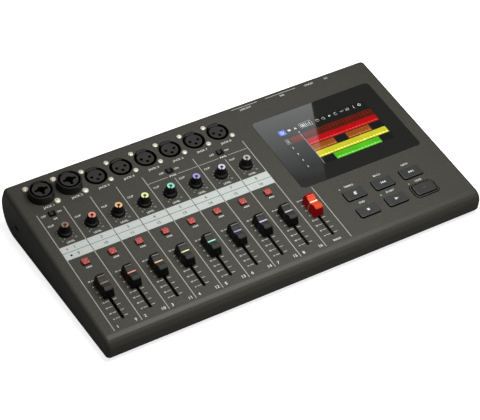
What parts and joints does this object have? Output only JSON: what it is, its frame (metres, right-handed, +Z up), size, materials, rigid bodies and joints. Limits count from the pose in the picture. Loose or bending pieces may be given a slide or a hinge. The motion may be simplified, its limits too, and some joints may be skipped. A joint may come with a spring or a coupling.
{
  "type": "digital multitrack recorder",
  "caption": "Sloped desktop multitrack recorder with channel faders, gain knobs, flush microphone jacks, a colour screen and transport keys.",
  "frame": {"origin": "on the desk, under the middle of the whole unit", "axes": "+X to the user's right, +Y from the user to the rear jacks, +Z up"},
  "size_m": [0.378, 0.206, 0.058],
  "materials": {
    "case_charcoal": "fine moulded grain, matt",
    "case_under": "moulded, matt",
    "foot_rubber": "matt",
    "screw_dark": "black zinc",
    "cover_glass": "polished, back-printed black",
    "screen_module": "polished face in a pressed frame",
    "circuit_board": "solder resist",
    "jack_black": "moulded, satin",
    "screw_bright": "bright zinc",
    "plated_steel": "tin plated",
    "switch_black": "moulded",
    "lamp_lens": "clear tinted",
    "fader_cap_black": "satin moulded",
    "fader_cap_red": "satin moulded",
    "knob_black": "soft-touch",
    "button_red": "translucent silicone",
    "key_grey": "satin moulded",
    "slider_grey": "moulded",
    "latch_grey": "satin moulded"
  },
  "bodies": {
    "case": {"top_case": "case_charcoal", "bottom_case": "case_under", "feet": "foot_rubber", "case_screws": "screw_dark", "display_glass": "cover_glass", "lcd_module": "screen_module", "control_board": "circuit_board", "main_board": "circuit_board", "jack_boards": "circuit_board", "combo_jacks": "jack_black", "xlr_jacks": "jack_black", "jack_screws": "screw_bright", "fader_units": "plated_steel", "pots": "plated_steel", "switch_bodies": "switch_black", "rear_jacks": "jack_black", "port_sockets": "plated_steel", "status_leds": "lamp_lens"},
    "fader_1": {"fader_1": "fader_cap_black"},
    "fader_2": {"fader_2": "fader_cap_black"},
    "fader_3": {"fader_3": "fader_cap_black"},
    "fader_4": {"fader_4": "fader_cap_black"},
    "fader_5": {"fader_5": "fader_cap_black"},
    "fader_6": {"fader_6": "fader_cap_black"},
    "fader_7": {"fader_7": "fader_cap_black"},
    "fader_8": {"fader_8": "fader_cap_black"},
    "master_fader": {"master_fader": "fader_cap_red"},
    "gain_knob_1": {"gain_knob_1": "knob_black"},
    "gain_knob_2": {"gain_knob_2": "knob_black"},
    "gain_knob_3": {"gain_knob_3": "knob_black"},
    "gain_knob_4": {"gain_knob_4": "knob_black"},
    "gain_knob_5": {"gain_knob_5": "knob_black"},
    "gain_knob_6": {"gain_knob_6": "knob_black"},
    "gain_knob_7": {"gain_knob_7": "knob_black"},
    "gain_knob_8": {"gain_knob_8": "knob_black"},
    "rec_button_1": {"rec_button_1": "button_red"},
    "rec_button_2": {"rec_button_2": "button_red"},
    "rec_button_3": {"rec_button_3": "button_red"},
    "rec_button_4": {"rec_button_4": "button_red"},
    "rec_button_5": {"rec_button_5": "button_red"},
    "rec_button_6": {"rec_button_6": "button_red"},
    "rec_button_7": {"rec_button_7": "button_red"},
    "rec_button_8": {"rec_button_8": "button_red"},
    "metronome_key": {"metronome_key": "key_grey"},
    "rewind_key": {"rewind_key": "key_grey"},
    "forward_key": {"forward_key": "key_grey"},
    "stop_key": {"stop_key": "key_grey"},
    "play_key": {"play_key": "key_grey"},
    "record_key": {"record_key": "key_grey"},
    "input_slider_1": {"input_slider_1": "slider_grey"},
    "input_slider_2": {"input_slider_2": "slider_grey"},
    "input_slider_3": {"input_slider_3": "slider_grey"},
    "xlr_latch_3": {"xlr_latch_3": "latch_grey"},
    "xlr_latch_4": {"xlr_latch_4": "latch_grey"},
    "xlr_latch_5": {"xlr_latch_5": "latch_grey"},
    "xlr_latch_6": {"xlr_latch_6": "latch_grey"},
    "xlr_latch_7": {"xlr_latch_7": "latch_grey"},
    "xlr_latch_8": {"xlr_latch_8": "latch_grey"},
    "volume_knob": {"volume_knob": "knob_black"},
    "power_slider": {"power_slider": "switch_black"}
  },
  "joints": [
    {"name": "fader_1_slide", "type": "slide", "parent": "case", "child": "fader_1", "axis": [0, 0.9898, 0.1426], "range_m": [-0.03214, 0.01286]},
    {"name": "fader_2_slide", "type": "slide", "parent": "case", "child": "fader_2", "axis": [0, 0.9898, 0.1426], "range_m": [-0.03214, 0.01286]},
    {"name": "fader_3_slide", "type": "slide", "parent": "case", "child": "fader_3", "axis": [0, 0.9898, 0.1426], "range_m": [-0.03214, 0.01286]},
    {"name": "fader_4_slide", "type": "slide", "parent": "case", "child": "fader_4", "axis": [0, 0.9898, 0.1426], "range_m": [-0.03214, 0.01286]},
    {"name": "fader_5_slide", "type": "slide", "parent": "case", "child": "fader_5", "axis": [0, 0.9898, 0.1426], "range_m": [-0.03214, 0.01286]},
    {"name": "fader_6_slide", "type": "slide", "parent": "case", "child": "fader_6", "axis": [0, 0.9898, 0.1426], "range_m": [-0.03214, 0.01286]},
    {"name": "fader_7_slide", "type": "slide", "parent": "case", "child": "fader_7", "axis": [0, 0.9898, 0.1426], "range_m": [-0.03214, 0.01286]},
    {"name": "fader_8_slide", "type": "slide", "parent": "case", "child": "fader_8", "axis": [0, 0.9898, 0.1426], "range_m": [-0.03214, 0.01286]},
    {"name": "master_fader_slide", "type": "slide", "parent": "case", "child": "master_fader", "axis": [0, 0.9898, 0.1426], "range_m": [-0.03214, 0.01286]},
    {"name": "gain_knob_1_turn", "type": "hinge", "parent": "case", "child": "gain_knob_1", "pos_m": [-0.1639, 0.02042, 0.0417], "axis": [0, 0.1426, -0.9898], "range_deg": [0, 300]},
    {"name": "gain_knob_2_turn", "type": "hinge", "parent": "case", "child": "gain_knob_2", "pos_m": [-0.1381, 0.02042, 0.0417], "axis": [0, 0.1426, -0.9898], "range_deg": [0, 300]},
    {"name": "gain_knob_3_turn", "type": "hinge", "parent": "case", "child": "gain_knob_3", "pos_m": [-0.1123, 0.02042, 0.0417], "axis": [0, 0.1426, -0.9898], "range_deg": [0, 300]},
    {"name": "gain_knob_4_turn", "type": "hinge", "parent": "case", "child": "gain_knob_4", "pos_m": [-0.0865, 0.02042, 0.0417], "axis": [0, 0.1426, -0.9898], "range_deg": [0, 300]},
    {"name": "gain_knob_5_turn", "type": "hinge", "parent": "case", "child": "gain_knob_5", "pos_m": [-0.0607, 0.02042, 0.0417], "axis": [0, 0.1426, -0.9898], "range_deg": [0, 300]},
    {"name": "gain_knob_6_turn", "type": "hinge", "parent": "case", "child": "gain_knob_6", "pos_m": [-0.0349, 0.02042, 0.0417], "axis": [0, 0.1426, -0.9898], "range_deg": [0, 300]},
    {"name": "gain_knob_7_turn", "type": "hinge", "parent": "case", "child": "gain_knob_7", "pos_m": [-0.0091, 0.02042, 0.0417], "axis": [0, 0.1426, -0.9898], "range_deg": [0, 300]},
    {"name": "gain_knob_8_turn", "type": "hinge", "parent": "case", "child": "gain_knob_8", "pos_m": [0.0167, 0.02042, 0.0417], "axis": [0, 0.1426, -0.9898], "range_deg": [0, 300]},
    {"name": "rec_button_1_slide", "type": "slide", "parent": "case", "child": "rec_button_1", "axis": [0, 0.1426, -0.9898], "range_m": [0, 0.0005], "stiffness_N_per_m": 1200, "springref_m": -0.0003},
    {"name": "rec_button_2_slide", "type": "slide", "parent": "case", "child": "rec_button_2", "axis": [0, 0.1426, -0.9898], "range_m": [0, 0.0005], "stiffness_N_per_m": 1200, "springref_m": -0.0003},
    {"name": "rec_button_3_slide", "type": "slide", "parent": "case", "child": "rec_button_3", "axis": [0, 0.1426, -0.9898], "range_m": [0, 0.0005], "stiffness_N_per_m": 1200, "springref_m": -0.0003},
    {"name": "rec_button_4_slide", "type": "slide", "parent": "case", "child": "rec_button_4", "axis": [0, 0.1426, -0.9898], "range_m": [0, 0.0005], "stiffness_N_per_m": 1200, "springref_m": -0.0003},
    {"name": "rec_button_5_slide", "type": "slide", "parent": "case", "child": "rec_button_5", "axis": [0, 0.1426, -0.9898], "range_m": [0, 0.0005], "stiffness_N_per_m": 1200, "springref_m": -0.0003},
    {"name": "rec_button_6_slide", "type": "slide", "parent": "case", "child": "rec_button_6", "axis": [0, 0.1426, -0.9898], "range_m": [0, 0.0005], "stiffness_N_per_m": 1200, "springref_m": -0.0003},
    {"name": "rec_button_7_slide", "type": "slide", "parent": "case", "child": "rec_button_7", "axis": [0, 0.1426, -0.9898], "range_m": [0, 0.0005], "stiffness_N_per_m": 1200, "springref_m": -0.0003},
    {"name": "rec_button_8_slide", "type": "slide", "parent": "case", "child": "rec_button_8", "axis": [0, 0.1426, -0.9898], "range_m": [0, 0.0005], "stiffness_N_per_m": 1200, "springref_m": -0.0003},
    {"name": "metronome_key_slide", "type": "slide", "parent": "case", "child": "metronome_key", "axis": [0, 0.1426, -0.9898], "range_m": [0, 0.0006], "stiffness_N_per_m": 1500, "springref_m": -0.0003},
    {"name": "rewind_key_slide", "type": "slide", "parent": "case", "child": "rewind_key", "axis": [0, 0.1426, -0.9898], "range_m": [0, 0.0006], "stiffness_N_per_m": 1500, "springref_m": -0.0003},
    {"name": "forward_key_slide", "type": "slide", "parent": "case", "child": "forward_key", "axis": [0, 0.1426, -0.9898], "range_m": [0, 0.0006], "stiffness_N_per_m": 1500, "springref_m": -0.0003},
    {"name": "stop_key_slide", "type": "slide", "parent": "case", "child": "stop_key", "axis": [0, 0.1426, -0.9898], "range_m": [0, 0.0006], "stiffness_N_per_m": 1500, "springref_m": -0.0003},
    {"name": "play_key_slide", "type": "slide", "parent": "case", "child": "play_key", "axis": [0, 0.1426, -0.9898], "range_m": [0, 0.0006], "stiffness_N_per_m": 1500, "springref_m": -0.0003},
    {"name": "record_key_slide", "type": "slide", "parent": "case", "child": "record_key", "axis": [0, 0.1426, -0.9898], "range_m": [0, 0.0006], "stiffness_N_per_m": 1500, "springref_m": -0.0003},
    {"name": "input_slider_1_slide", "type": "slide", "parent": "case", "child": "input_slider_1", "axis": [1, 0, 0], "range_m": [0, 0.002]},
    {"name": "input_slider_2_slide", "type": "slide", "parent": "case", "child": "input_slider_2", "axis": [1, 0, 0], "range_m": [0, 0.002]},
    {"name": "input_slider_3_slide", "type": "slide", "parent": "case", "child": "input_slider_3", "axis": [1, 0, 0], "range_m": [0, 0.002]},
    {"name": "xlr_latch_3_slide", "type": "slide", "parent": "case", "child": "xlr_latch_3", "axis": [0, 0.1426, -0.9898], "range_m": [0, 0.0015], "stiffness_N_per_m": 1500, "springref_m": -0.0005},
    {"name": "xlr_latch_4_slide", "type": "slide", "parent": "case", "child": "xlr_latch_4", "axis": [0, 0.1426, -0.9898], "range_m": [0, 0.0015], "stiffness_N_per_m": 1500, "springref_m": -0.0005},
    {"name": "xlr_latch_5_slide", "type": "slide", "parent": "case", "child": "xlr_latch_5", "axis": [0, 0.1426, -0.9898], "range_m": [0, 0.0015], "stiffness_N_per_m": 1500, "springref_m": -0.0005},
    {"name": "xlr_latch_6_slide", "type": "slide", "parent": "case", "child": "xlr_latch_6", "axis": [0, 0.1426, -0.9898], "range_m": [0, 0.0015], "stiffness_N_per_m": 1500, "springref_m": -0.0005},
    {"name": "xlr_latch_7_slide", "type": "slide", "parent": "case", "child": "xlr_latch_7", "axis": [0, 0.1426, -0.9898], "range_m": [0, 0.0015], "stiffness_N_per_m": 1500, "springref_m": -0.0005},
    {"name": "xlr_latch_8_slide", "type": "slide", "parent": "case", "child": "xlr_latch_8", "axis": [0, 0.1426, -0.9898], "range_m": [0, 0.0015], "stiffness_N_per_m": 1500, "springref_m": -0.0005},
    {"name": "volume_knob_turn", "type": "hinge", "parent": "case", "child": "volume_knob", "pos_m": [0.0835, 0.0931, 0.0273], "axis": [0, -1, 0], "range_deg": [0, 270]},
    {"name": "power_slider_slide", "type": "slide", "parent": "case", "child": "power_slider", "axis": [1, 0, 0], "range_m": [0, 0.0034]}
  ]
}
